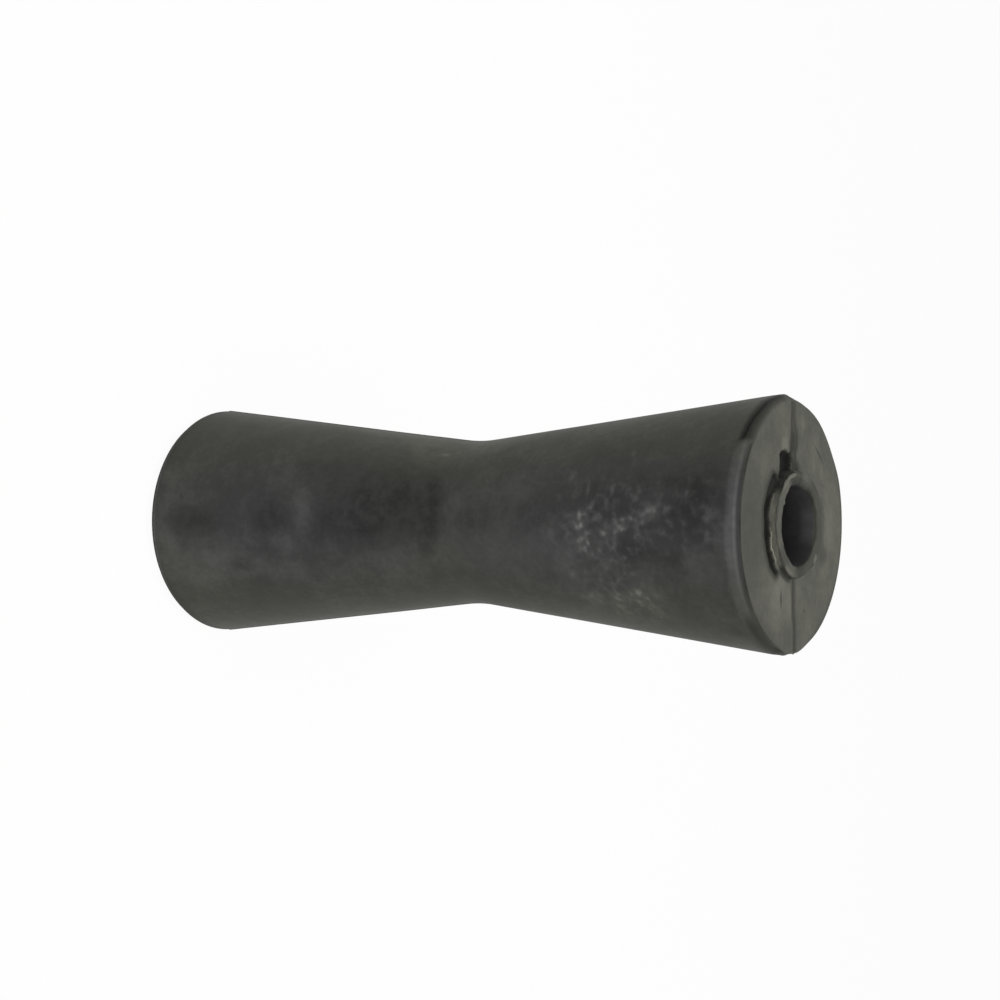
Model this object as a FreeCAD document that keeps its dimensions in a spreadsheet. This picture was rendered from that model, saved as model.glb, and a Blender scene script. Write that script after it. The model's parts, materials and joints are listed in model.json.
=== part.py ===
import FreeCAD, Part
import math
import os
import Sketcher

# Keel roller for a boat trailer: one moulding of black rubber, standing on one end.
# The bore is the Z axis, and Z = 0 is the foot of the lower collar.
# The mould parts in the XZ plane, so its lines run at +X and -X.
# The damage of the upper end lies between -X and -Y.

DIMENSIONS = [
    ("faceLength", 200.0, "between the two flat end faces"),
    ("endDiameter", 71.5, "over the cones where they end, before the rims are rounded"),
    ("waistDiameter", 47.6, "where the two cones would meet, before they are blended"),
    ("waistBlend", 40.0, "radius that blends the two cones"),
    ("rimRound", 2.7, "radius of the rounded rim"),
    ("faceInset", 1.65, "from the end diameter to the edge of the flat face"),
    ("faceStep", 0.4, "how far the flat face stands over the rounded rim"),
    ("boreDiameter", 21.5, "plain hole for the spindle"),
    ("collarWall", 3.6, "thickness of the raised collar round the bore"),
    ("collarHeight", 1.6, "how far the collar stands over the flat face"),
    ("collarEdge", 0.5, "bevel of the collar's outer edge"),
    ("moatLedge", 0.6, "thin lip of flash left between the collar and the moat"),
    ("moatWidth", 4.1, "hollow beside the upper collar, where the face tore away"),
    ("moatDepth", 2.0, "depth of that hollow under the flat face"),
    ("moatSlope", 1.4, "how much narrower the hollow is at its floor"),
    ("moatStart", 12.0, "degrees from -X to where the hollow starts"),
    ("moatSweep", 136.0, "degrees that the hollow runs, on through -Y"),
    ("seamWidth", 0.6, "width of the line left where the mould parts"),
    ("sideSeamHeight", 0.25, "height of that line along the cones"),
    ("faceSeamHeight", 0.5, "height of that line across the end faces"),
    ("pitStart", 1.6, "from the parting plane to the pit beside the upper collar"),
    ("pitSpread", 6.4, "width of the pit, away from the parting plane"),
    ("pitReach", 4.7, "how far the pit runs out over the face"),
    ("pitDepth", 2.2, "depth of the pit under the flat face"),
    ("pitCorner", 0.8, "radius of the pit's outer corners"),
    ("tearStart", 10.0, "degrees from -X to where the rim is torn"),
    ("tearSweep", 42.0, "degrees along which the rim is torn away"),
    ("tearDrop", 3.4, "how far the tear reaches down from the flat face"),
    ("tearDepth", 2.1, "how far the tear reaches in from the end diameter"),
    ("tearCorner", 1.1, "radius in the bottom corner of the tear"),
]

# Places that several features share, from the values of the sheet.
FAR_FACE = "Dimensions.collarHeight"
NEAR_FACE = "(Dimensions.collarHeight + Dimensions.faceLength)"
MIDDLE = "(Dimensions.collarHeight + Dimensions.faceLength / 2)"
OVERALL = "(2 * Dimensions.collarHeight + Dimensions.faceLength)"
END_RADIUS = "(Dimensions.endDiameter / 2)"
WAIST_RADIUS = "(Dimensions.waistDiameter / 2)"
FACE_RADIUS = "(Dimensions.endDiameter / 2 - Dimensions.faceInset)"
COLLAR_RADIUS = "(Dimensions.boreDiameter / 2 + Dimensions.collarWall)"
MOAT_INSIDE = f"({COLLAR_RADIUS} + Dimensions.moatLedge)"
MOAT_OUTSIDE = f"({MOAT_INSIDE} + Dimensions.moatWidth)"
PLATE_DEPTH = "(Dimensions.faceStep + Dimensions.rimRound)"
CUT_ABOVE = "Dimensions.collarHeight"


def make_sheet(doc):
    """Writes the driving dimensions, one to a row, and names each value."""
    sheet = doc.addObject("Spreadsheet::Sheet", "Dimensions")
    for row, (alias, value, note) in enumerate(DIMENSIONS, start=1):
        sheet.set(f"A{row}", alias)
        sheet.set(f"B{row}", str(value))
        sheet.set(f"C{row}", note)
        sheet.setAlias(f"B{row}", alias)
    doc.recompute()
    return sheet


def new_sketch(body, name, plane_role):
    """Puts an empty sketch on one of the body's own origin planes."""
    sketch = body.newObject("Sketcher::SketchObject", name)
    plane = next(item for item in body.Origin.OriginFeatures if item.Role == plane_role)
    sketch.AttachmentSupport = (plane, [""])
    sketch.MapMode = "FlatFace"
    return sketch


def value_of(sketch, expression):
    """Gives an expression's present value as a plain number."""
    return float(sketch.evalExpression(expression))


def tie(sketch, constraint, expression):
    """Adds a dimension to the sketch and binds it to the sheet."""
    index = sketch.addConstraint(constraint)
    if expression != "0":
        sketch.setExpression(f"Constraints[{index}]", expression)


def round_corner(before, corner, after, radius):
    """Gives the arc that touches both sides of a corner, and whether it turns left."""
    to_before = (before - corner).normalize()
    to_after = (after - corner).normalize()
    half_angle = to_before.getAngle(to_after) / 2
    reach = radius / math.tan(half_angle)
    start = corner + to_before * reach
    end = corner + to_after * reach
    bisector = (to_before + to_after).normalize()
    centre = corner + bisector * (radius / math.sin(half_angle))
    turns_left = (corner - before).cross(after - corner).z > 0
    first, last = (start, end) if turns_left else (end, start)
    circle = Part.Circle(centre, FreeCAD.Vector(0, 0, 1), radius)
    arc = Part.ArcOfCircle(circle, circle.parameter(first), circle.parameter(last))
    return arc, start, end, turns_left


def draw_outline(sketch, corners):
    """Draws a closed outline through corners given as across, up and, if rounded, radius."""
    count = len(corners)
    points = [FreeCAD.Vector(value_of(sketch, c[0]), value_of(sketch, c[1]), 0) for c in corners]
    starts = list(points)
    ends = list(points)
    arcs = {}
    for i, corner in enumerate(corners):
        if len(corner) == 3:
            radius = value_of(sketch, corner[2])
            rounding = round_corner(points[i - 1], points[i], points[(i + 1) % count], radius)
            arc, starts[i], ends[i], turns_left = rounding
            arcs[i] = (sketch.addGeometry(arc, False), turns_left)
    sides = []
    for i in range(count):
        side = Part.LineSegment(ends[i], starts[(i + 1) % count])
        sides.append(sketch.addGeometry(side, False))
    for i, corner in enumerate(corners):
        before, after = sides[i - 1], sides[i]
        if i in arcs:
            arc, turns_left = arcs[i]
            arc_first, arc_last = (1, 2) if turns_left else (2, 1)
            sketch.addConstraint(Sketcher.Constraint("Tangent", before, 2, arc, arc_first))
            sketch.addConstraint(Sketcher.Constraint("Tangent", arc, arc_last, after, 1))
            radius = value_of(sketch, corner[2])
            tie(sketch, Sketcher.Constraint("Radius", arc, radius), corner[2])
            held = sketch.addGeometry(Part.Point(points[i]), True)
            sketch.addConstraint(Sketcher.Constraint("PointOnObject", held, 1, before))
            sketch.addConstraint(Sketcher.Constraint("PointOnObject", held, 1, after))
        else:
            sketch.addConstraint(Sketcher.Constraint("Coincident", before, 2, after, 1))
            held = after
        place = points[i]
        tie(sketch, Sketcher.Constraint("DistanceX", -1, 1, held, 1, place.x), corner[0])
        tie(sketch, Sketcher.Constraint("DistanceY", -1, 1, held, 1, place.y), corner[1])


def turn_about_bore(body, kind, name, sketch, angle):
    """Revolves a sketch about the Z axis, to add rubber or to cut it away."""
    feature = body.newObject(f"PartDesign::{kind}", name)
    feature.Profile = sketch
    feature.ReferenceAxis = (sketch, ["V_Axis"])
    feature.setExpression("Angle", angle)


def add_cones(body):
    """Two cones that meet in a blended waist, with rounded rims."""
    sketch = new_sketch(body, "ConesProfile", "XZ_Plane")
    low = f"{FAR_FACE} + Dimensions.faceStep"
    high = f"{NEAR_FACE} - Dimensions.faceStep"
    draw_outline(sketch, [
        ("0", low),
        (END_RADIUS, low, "Dimensions.rimRound"),
        (WAIST_RADIUS, MIDDLE, "Dimensions.waistBlend"),
        (END_RADIUS, high, "Dimensions.rimRound"),
        ("0", high),
    ])
    turn_about_bore(body, "Revolution", "Cones", sketch, "360")


def add_end_faces(body):
    """The flat face of each end, a small step over the rim, and the collar on it."""
    sketch = new_sketch(body, "EndFacesProfile", "XZ_Plane")
    draw_outline(sketch, [
        ("0", "0"),
        (f"{COLLAR_RADIUS} - Dimensions.collarEdge", "0"),
        (COLLAR_RADIUS, "Dimensions.collarEdge"),
        (COLLAR_RADIUS, FAR_FACE),
        (FACE_RADIUS, FAR_FACE),
        (FACE_RADIUS, f"{FAR_FACE} + {PLATE_DEPTH}"),
        ("0", f"{FAR_FACE} + {PLATE_DEPTH}"),
    ])
    draw_outline(sketch, [
        ("0", OVERALL),
        ("0", f"{NEAR_FACE} - {PLATE_DEPTH}"),
        (FACE_RADIUS, f"{NEAR_FACE} - {PLATE_DEPTH}"),
        (FACE_RADIUS, NEAR_FACE),
        (COLLAR_RADIUS, NEAR_FACE),
        (COLLAR_RADIUS, f"{OVERALL} - Dimensions.collarEdge"),
        (f"{COLLAR_RADIUS} - Dimensions.collarEdge", OVERALL),
    ])
    turn_about_bore(body, "Revolution", "EndFaces", sketch, "360")


def add_parting_lines(body):
    """The thin line that the mould left along both sides and across both end faces."""
    rise = "Dimensions.sideSeamHeight"
    low = f"{FAR_FACE} + Dimensions.faceStep - {rise}"
    high = f"{NEAR_FACE} - Dimensions.faceStep + {rise}"
    end = f"({END_RADIUS} + {rise})"
    waist = f"({WAIST_RADIUS} + {rise})"
    rim = f"Dimensions.rimRound + {rise}"
    blend = f"Dimensions.waistBlend - {rise}"
    along = new_sketch(body, "SideLinesProfile", "XZ_Plane")
    draw_outline(along, [
        (end, low, rim),
        (waist, MIDDLE, blend),
        (end, high, rim),
        (f"-{end}", high, rim),
        (f"-{waist}", MIDDLE, blend),
        (f"-{end}", low, rim),
    ])
    across = new_sketch(body, "FaceLinesProfile", "XZ_Plane")
    rise = "Dimensions.faceSeamHeight"
    face = f"({FACE_RADIUS} + {rise})"
    for outer, inner in (
        (f"{FAR_FACE} - {rise}", f"{FAR_FACE} + {PLATE_DEPTH}"),
        (f"{NEAR_FACE} + {rise}", f"{NEAR_FACE} - {PLATE_DEPTH}"),
    ):
        draw_outline(across, [
            (f"-{face}", outer),
            (face, outer),
            (face, inner),
            (f"-{face}", inner),
        ])
    for name, sketch in (("SideLines", along), ("FaceLines", across)):
        pad = body.newObject("PartDesign::Pad", name)
        pad.Profile = sketch
        pad.SideType = "Symmetric"
        pad.setExpression("Length", "Dimensions.seamWidth")


def cut_bore(body):
    """The plain hole for the spindle, through both collars."""
    sketch = new_sketch(body, "BoreCircle", "XY_Plane")
    radius = "Dimensions.boreDiameter / 2"
    hole = Part.Circle(FreeCAD.Vector(), FreeCAD.Vector(0, 0, 1), value_of(sketch, radius))
    circle = sketch.addGeometry(hole, False)
    sketch.addConstraint(Sketcher.Constraint("Coincident", circle, 3, -1, 1))
    tie(sketch, Sketcher.Constraint("Radius", circle, value_of(sketch, radius)), radius)
    bore = body.newObject("PartDesign::Pocket", "Bore")
    bore.Profile = sketch
    bore.Type = "ThroughAll"
    bore.Reversed = True


def new_turned_sketch(body, name, start):
    """Puts an empty sketch on a plane through the bore, start degrees from -X towards -Y."""
    sketch = new_sketch(body, name, "XZ_Plane")
    upright = FreeCAD.Vector(0, 1, 0)
    sketch.AttachmentOffset = FreeCAD.Placement(FreeCAD.Vector(), FreeCAD.Rotation(upright, 180))
    sketch.setExpression("AttachmentOffset.Rotation.Angle", f"180 + {start}")
    return sketch


def cut_moat(body):
    """The hollow beside the upper collar, where the face tore away."""
    sketch = new_turned_sketch(body, "MoatProfile", "Dimensions.moatStart")
    floor = f"{NEAR_FACE} - Dimensions.moatDepth"
    above = f"{NEAR_FACE} + {CUT_ABOVE}"
    draw_outline(sketch, [
        (MOAT_INSIDE, above),
        (MOAT_INSIDE, floor),
        (f"{MOAT_OUTSIDE} - Dimensions.moatSlope", floor),
        (MOAT_OUTSIDE, NEAR_FACE),
        (MOAT_OUTSIDE, above),
    ])
    turn_about_bore(body, "Groove", "Moat", sketch, "Dimensions.moatSweep")


def cut_pit(body):
    """The pit that runs out of the moat's end beside the parting line."""
    sketch = new_sketch(body, "PitOutline", "XY_Plane")
    sketch.setExpression("AttachmentOffset.Base.z", NEAR_FACE)
    near_line = "-Dimensions.pitStart"
    far_side = "-(Dimensions.pitStart + Dimensions.pitSpread)"
    outer = f"-({MOAT_INSIDE} + Dimensions.pitReach)"
    draw_outline(sketch, [
        (f"-{MOAT_INSIDE}", near_line),
        (outer, near_line, "Dimensions.pitCorner"),
        (outer, far_side, "Dimensions.pitCorner"),
        (f"-{MOAT_INSIDE}", far_side),
    ])
    pit = body.newObject("PartDesign::Pocket", "Pit")
    pit.Profile = sketch
    pit.setExpression("Length", "Dimensions.pitDepth")


def cut_torn_rim(body):
    """The stretch of the upper rim that is torn away, with a rounded foot."""
    sketch = new_turned_sketch(body, "TearProfile", "Dimensions.tearStart")
    inside = f"({END_RADIUS} - Dimensions.tearDepth)"
    outside = f"({END_RADIUS} + Dimensions.tearDepth)"
    foot = f"({NEAR_FACE} - Dimensions.tearDrop)"
    above = f"({NEAR_FACE} + {CUT_ABOVE})"
    draw_outline(sketch, [
        (inside, above),
        (inside, foot, "Dimensions.tearCorner"),
        (outside, foot),
        (outside, above),
    ])
    turn_about_bore(body, "Groove", "TornRim", sketch, "Dimensions.tearSweep")


def check(doc, body):
    """Stops if a feature failed, a cut took nothing away, or the solid is not whole."""
    for item in doc.Objects:
        if "Invalid" in item.State or "Error" in item.State:
            raise RuntimeError(f"{item.Name} failed: {item.State}")
    for feature in body.Group:
        if feature.TypeId in ("PartDesign::Pocket", "PartDesign::Groove"):
            if feature.Shape.Volume >= feature.BaseFeature.Shape.Volume:
                raise RuntimeError(f"{feature.Name} cuts nothing")
    shape = body.Shape
    if shape.isNull() or not shape.isValid() or len(shape.Solids) != 1:
        raise RuntimeError("the roller is not one valid solid")


doc = FreeCAD.newDocument("KeelRoller")
make_sheet(doc)
roller = doc.addObject("PartDesign::Body", "Roller")
roller.Label = "roller"
add_cones(roller)
add_end_faces(roller)
add_parting_lines(roller)
cut_bore(roller)
cut_moat(roller)
cut_pit(roller)
cut_torn_rim(roller)
doc.recompute()
check(doc, roller)

os.makedirs("parts", exist_ok=True)
roller.Shape.exportStep(f"parts/{roller.Label}.step")
box = roller.Shape.optimalBoundingBox()
print(f"{roller.Label}: {box.XLength:.2f} x {box.YLength:.2f} x {box.ZLength:.2f} mm,"
      f" {roller.Shape.Volume / 1000:.1f} cm3, {len(roller.Shape.Faces)} faces")
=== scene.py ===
import json
import math
import bpy
import numpy as np
from mathutils import Matrix, Vector


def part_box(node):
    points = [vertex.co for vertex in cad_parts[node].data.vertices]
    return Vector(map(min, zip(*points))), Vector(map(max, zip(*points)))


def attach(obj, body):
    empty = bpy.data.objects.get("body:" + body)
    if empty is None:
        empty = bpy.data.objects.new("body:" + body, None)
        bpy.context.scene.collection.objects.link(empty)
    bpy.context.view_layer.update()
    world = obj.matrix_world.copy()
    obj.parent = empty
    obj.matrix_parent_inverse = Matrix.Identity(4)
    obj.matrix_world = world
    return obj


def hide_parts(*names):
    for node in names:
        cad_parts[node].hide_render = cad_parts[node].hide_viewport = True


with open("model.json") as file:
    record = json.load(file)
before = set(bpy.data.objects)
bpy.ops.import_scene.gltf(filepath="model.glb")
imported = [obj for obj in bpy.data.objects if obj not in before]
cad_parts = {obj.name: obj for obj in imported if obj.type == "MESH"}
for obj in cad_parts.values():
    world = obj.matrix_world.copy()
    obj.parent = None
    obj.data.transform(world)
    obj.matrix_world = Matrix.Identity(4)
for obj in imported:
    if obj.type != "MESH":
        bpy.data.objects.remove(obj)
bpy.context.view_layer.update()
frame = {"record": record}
print("frame loaded")

mm = 0.001  # every size below is in millimetres, and the scene is in metres

bore = next(m for m in frame["record"]["mounts"] if m["name"] == "bore")
boreRadius = bore["dims"]["r_mm"]
overall = (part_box("roller")[1].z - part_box("roller")[0].z) / mm

# The moulding itself. A turn is an angle round the bore in degrees, from -X towards -Y,
# and a height h is measured up from the flat face of each end.
rollerForm = {
    "endRadius": 35.75,       # where the cone would meet the shoulder of the rim
    "waistRadius": 23.8,      # where the two cones would meet
    "waistBlend": 40.0,
    "rimRound": 2.7,
    "faceInset": 1.65,
    "faceStep": 0.4,
    "faceEdge": 0.32,         # the flat face's own edge is a little rounded
    "collarWall": 3.6,
    "collarHeight": 1.6,
    "collarEdge": 0.5,
    "mouthEdge": 0.4,
    "offCentre": 0.8,         # how far the near face's rim lies from the axis, towards +Y,
    "offCentreRadii": (22.0, 30.0),     # and the radii and the heights over which that sets in
    "offCentreHeights": (-1.9, -0.3),
    "coneSag": 0.05,          # how uneven the cones are, and how wide a swell is
    "coneSwell": 24.0,

    "wornStrip": (58, 122, 44),   # turns from and to, and softness, of the strip that faces the camera, left without the olive tint that is painted sheen on the rest of the cones
    "stripEdge": 8.0,         # degrees by which its edge wanders, and how wide a wave of that is
    "stripWave": 14.0,
    "stripFade": 0.4,         # how much weaker it is at the waist and at the far end,
    "stripWaist": 16.0,       # how far the waist reaches here, and the heights over which the end does
    "stripFoot": (30.0, 5.0),
    "stepDark": 0.2,          # how dark the shade painted at the step is, at what height, and how far from it
    "stepMiddle": -0.9,
    "stepReach": 0.4,
    "farRimDark": 0.25,       # the same for the painted shade on the far rim, strongest beside the lines of the mould
    "farRimHeights": (-4.2, -2.7),
    # depth in the bore, and how dark the painted shade is there
    "boreDark": ((0.5, 0.44), (1.5, 0.36), (3.0, 0.19), (4.2, 0.18), (5.5, 0.28), (7.0, 0.45), (10.0, 0.5)),
    "boreFoot": ((180, 242, 30, 0.16),),       # the same by turns from and to, softness and size
    "boreMottle": 0.07,       # how uneven that is, and how wide a spot
    "boreSpot": 2.2,

    # rows of the grid, by the zone of the outline that they share evenly
    "nearRows": {"bore": 6, "boreWall": 7, "boreMouth": 8, "mouthEdge": 5, "collarTop": 9, "collarEdge": 5,
                 "collarWall": 6, "ring": 36, "face": 23, "faceOuter": 8, "faceEdge": 4, "step": 3,
                 "rim": 14, "shoulder": 12, "cone": 18, "waist": 5},
    "farRows": {"bore": 5, "boreWall": 2, "boreMouth": 2, "mouthEdge": 4, "collarTop": 4, "collarEdge": 4,
                "collarWall": 3, "ring": 6, "face": 6, "faceOuter": 3, "faceEdge": 3, "step": 2,
                "rim": 8, "shoulder": 2, "cone": 12, "waist": 4},
    "wallDepth": 12.0,        # how far down the bore the wall reaches that shows through its mouth,
    "mouthDepth": 3.0,        # and how far the worn mouth does
    "ringRadius": 20.0,       # the face inside this radius gets closer rows, for the damage there
    "tearRadius": 31.5,       # the torn rim starts outside this radius
    "shoulderDepth": 7.0,     # how far down the cone its closer rows reach
    "lineColumns": (0.25, 0.5, 0.8, 1.15, 1.55, 2.0, 2.5),   # distances from a line of the mould
    "fanColumns": 8,          # columns that fan out from there, and degrees between them
    "fanAngle": 2.0,
    "plainFrom": 18.0,        # degrees from the line where the plain columns start,
    "frontStep": 0.6,         # and between them, on the side of the damage and behind
    "backStep": 1.5,
}

nearFace = overall - rollerForm["collarHeight"]
middle = overall / 2
faceRadius = rollerForm["endRadius"] - rollerForm["faceInset"]
collarRadius = boreRadius + rollerForm["collarWall"]

# The camera stands where the photograph's did, rolled so that the roller lies across the picture.
camera = {
    "yaw": 0.56,              # radians between the picture plane and the roller's axis
    "roll": -0.001,
    "across": -5.415,         # where the middle of the roller sits in the picture
    "up": -6.636,
    "distance": 576.487,
    "picture": 1000,          # width of the picture in pixels, and the focal length in the same
    "focal": 1934.245,
    "sensor": 36.0,
    "clip": (10.0, 50000.0),
}


def addObject(name, data):
    # a new object of this mesh, lamp or camera, in the scene
    made = bpy.data.objects.new(name, data)
    bpy.context.scene.collection.objects.link(made)
    return made


def addCamera(values):
    # right, up and back are the picture's own directions, turned by yaw about the picture's upright
    yaw, roll = values["yaw"], values["roll"]
    along = np.array([0.0, 0.0, 1.0])
    upright = np.array([-1.0, 0.0, 0.0])
    towards = np.array([0.0, -1.0, 0.0])
    flat = math.cos(yaw) * along - math.sin(yaw) * towards
    right = math.cos(roll) * flat - math.sin(roll) * upright
    up = math.sin(roll) * flat + math.cos(roll) * upright
    back = math.sin(yaw) * along + math.cos(yaw) * towards
    place = middle * along - values["across"] * right - values["up"] * up + values["distance"] * back
    data = bpy.data.cameras.new("camera")
    data.sensor_width = values["sensor"]
    data.lens = values["focal"] / values["picture"] * values["sensor"]
    data.clip_start, data.clip_end = (reach * mm for reach in values["clip"])
    made = addObject("camera", data)
    matrix = Matrix.Identity(4)
    for row in range(3):
        matrix[row][0], matrix[row][1], matrix[row][2] = right[row], up[row], back[row]
        matrix[row][3] = place[row] * mm
    made.matrix_world = matrix
    bpy.context.scene.camera = made


addCamera(camera)
print("camera placed")


def ease(x):
    # 0 below 0, 1 above 1, and 3x^2 - 2x^3 in between
    x = np.clip(x, 0, 1)
    return x * x * (3 - 2 * x)


def rising(x, start, end):
    # 0 up to start and 1 from end on, eased in between; it falls where start is the greater of the two
    return ease((x - start) / (end - start))


def between(x, start, end, soft):
    # 1 from start to end and 0 outside, eased over soft at each of the two
    return ease((x - start) / soft + 0.5) * ease((end - x) / soft + 0.5)


def boxed(x, y, place, soft):
    # 1 inside a rectangle given as x from and to and y from and to, eased over soft at its sides
    return between(x, place[0], place[1], soft) * between(y, place[2], place[3], soft)


def bell(x, centre, reach):
    # exp(-((x - centre) / reach)^2)
    return np.exp(-((x - centre) / reach) ** 2)


def halfTurn(turn):
    # the same turn counted from -180 to 180
    return (turn + 180) % 360 - 180


def spread(turn, patches):
    # the sizes of patches given as turns from and to, softness and size, each eased in and out
    return sum(size * between(halfTurn(turn) if first < 0 else turn, first, last, soft)
               for first, last, soft, size in patches)


def roundBore(radius, turn):
    # x = -radius * cos(turn) and y = -radius * sin(turn)
    return -radius * np.cos(np.radians(turn)), -radius * np.sin(np.radians(turn))


def evenly(rows, start, end, whole=False):
    # a column that runs evenly from start to end down these rows, and reaches end only if whole
    return np.linspace(start, end, rows.stop - rows.start, endpoint=whole)[:, None]


def grain(x, y, z, cell, seed):
    # value noise from -1 to 1: random heights at the corners of cubes of this cell, eased between them
    block = 32                # cubes along each side, after which it repeats
    heights = np.random.default_rng(seed).uniform(-1, 1, (block, block, block))
    spots = np.stack(np.broadcast_arrays(x, y, z)) / cell
    corner = np.floor(spots).astype(int)
    part = ease(spots - corner)
    total = 0
    for step in np.ndindex(2, 2, 2):
        weight = np.prod([part[k] if step[k] else 1 - part[k] for k in range(3)], axis=0)
        total = total + weight * heights[tuple((corner[k] + step[k]) % block for k in range(3))]
    return total


# radii of the rings round the bore where the noise of these places is read
noiseRing = {"mouth": 11, "collarTop": 12, "collar": 14, "rim": 34}


def ringGrain(turn, ring, down, cell, seed):
    # the noise on one of these rings, at the distance down the outline
    return grain(*roundBore(noiseRing[ring], turn), down, cell, seed)


def halfOutline(form, rows):
    # radius and height h of one end's outline, from the middle of the bore, over the end and down
    # the cone to the middle of the waist: straight runs, and arcs centre + radius * (cos, sin)
    slope = math.atan2(form["endRadius"] - form["waistRadius"], nearFace - form["faceStep"] - middle)
    top = form["collarHeight"]
    rim, rimHeight = form["rimRound"], -form["faceStep"] - form["rimRound"]
    rimRadius = form["endRadius"] - rim * (1 + math.sin(slope)) / math.cos(slope)
    rimStart = math.acos((faceRadius - rimRadius) / rim)
    stepFoot = rimHeight + rim * math.sin(rimStart)
    coneTop = (rimRadius + rim * math.cos(slope), rimHeight - rim * math.sin(slope))
    blend = form["waistBlend"]
    blendRadius = form["waistRadius"] + blend / math.cos(slope)
    waistHeight = middle - nearFace
    coneEnd = (blendRadius - blend * math.cos(slope), waistHeight + blend * math.sin(slope))
    shoulderEnd = (coneTop[0] - form["shoulderDepth"] * math.tan(slope), coneTop[1] - form["shoulderDepth"])
    edge, mouth, face = form["collarEdge"], form["mouthEdge"], form["faceEdge"]
    stations = {
        "bore": (boreRadius, waistHeight),
        "boreWall": (boreRadius, -form["wallDepth"]),
        "boreMouth": (boreRadius, -form["mouthDepth"]),
        "mouthEdge": (boreRadius, top - mouth),
        "collarTop": (boreRadius + mouth, top),
        "collarEdge": (collarRadius - edge, top),
        "collarWall": (collarRadius, top - edge),
        "ring": (collarRadius, 0),
        "face": (form["ringRadius"], 0),
        "faceOuter": (form["tearRadius"], 0),
        "faceEdge": (faceRadius - face, 0),
        "step": (faceRadius, -face),
        "rim": (faceRadius, stepFoot),
        "shoulder": coneTop,
        "cone": shoulderEnd,
        "waist": coneEnd,
        "end": (blendRadius - blend, waistHeight),
    }
    arcs = {                  # centre, radius, and the angles where each arc starts and ends
        "mouthEdge": (boreRadius + mouth, top - mouth, mouth, math.pi, math.pi / 2),
        "collarEdge": (collarRadius - edge, top - edge, edge, math.pi / 2, 0),
        "faceEdge": (faceRadius - face, -face, face, math.pi / 2, 0),
        "rim": (rimRadius, rimHeight, rim, rimStart, -slope),
        "waist": (blendRadius, waistHeight, blend, math.pi - slope, math.pi),
    }
    names = list(stations)
    zones, places, start = {}, [], 0
    for name, after in zip(names, names[1:]):
        share = np.arange(rows[name]) / rows[name]
        if name in arcs:
            centreRadius, centreHeight, radius, first, last = arcs[name]
            angle = first + (last - first) * share
            run = [centreRadius + radius * np.cos(angle), centreHeight + radius * np.sin(angle)]
        else:
            run = [stations[name][k] + (stations[after][k] - stations[name][k]) * share for k in (0, 1)]
        places.append(np.array(run))
        zones[name] = slice(start, start + rows[name])
        start += rows[name]
    places.append(np.array(stations["end"]).reshape(2, 1))
    radius, height = np.concatenate(places, axis=1)
    return radius, height, zones


def rollerColumns(form):
    # Angle, sideways shift and how far a column follows the mould's line. Beside a line the columns
    # run parallel to it; a fan of columns then opens to the plain ones, which only have an angle.
    offsets = np.array(form["lineColumns"])
    beside = np.concatenate([-offsets[::-1], [0], offsets])
    fan = np.arange(1, form["fanColumns"] + 1)
    fanFollow = 1 - fan / (form["fanColumns"] + 1)
    fanShift = offsets[-1] * fanFollow
    lineAngle = np.concatenate([-form["fanAngle"] * fan[::-1], 0 * beside, form["fanAngle"] * fan])
    lineShift = np.concatenate([-fanShift[::-1], beside, fanShift])
    lineFollow = np.concatenate([fanFollow[::-1], 0 * beside + 1, fanFollow])
    first, last = form["plainFrom"], 180 - form["plainFrom"]
    front = np.linspace(first, last, round((last - first) / form["frontStep"]) + 1)
    back = np.linspace(180 + first, 180 + last, round((last - first) / form["backStep"]) + 1)
    angle = np.concatenate([lineAngle, front, 180 + lineAngle, back])
    shift = np.concatenate([lineShift, 0 * front, lineShift, 0 * back])
    follow = np.concatenate([lineFollow, 0 * front, 0 * lineFollow, 0 * back])
    return angle, shift, follow


# The lines of the mould, at -X and +X. Each is a ridge, with the rubber sunk on both sides of it,
# and its sizes across are measured from its middle.
lineForm = {
    # a line's dirt is dirt with painted shade in its valleys
    "upper": {"ridge": 0.08, "ridgeWidth": 0.4, "valley": 0.22, "valleyPlace": 0.5, "valleyWidth": 1.0,
              "dirt": 0.34},
    "lower": {"ridge": 0.02, "ridgeWidth": 0.25, "valley": 0.2, "valleyPlace": 0.2, "valleyWidth": 0.95,
              "dirt": 0.38},
    "side": {"ridge": 0.2, "ridgeWidth": 0.28, "valley": 0.05, "valleyPlace": 0.9, "valleyWidth": 0.4,
             "dirt": 0.0},
    "collarGap": (0.3, 1.1),  # how far from the collar a line sets in, and is whole
    # radius, and how far the line at -X lies there to the -Y side of the mould's plane
    "path": ((13.5, 0.0), (16.0, -1.3), (18.8, 0.2), (21.4, -0.5), (24.1, -0.7), (28.0, 0.8)),
    "pathDepth": 3.0,         # how far down the rim it is back in that plane
    "parting": 1.3,           # where its two valleys also part from each other
    "partingRadius": 22.5,
    "partingReach": 4.0,
    "partingSoft": 0.4,       # how softly the dirt and painted shade between them end
    "deep": 0.5,              # and where more dirt and painted shade lie in them
    "deepRadius": 19.5,
    "deepReach": 6.0,
}
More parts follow.
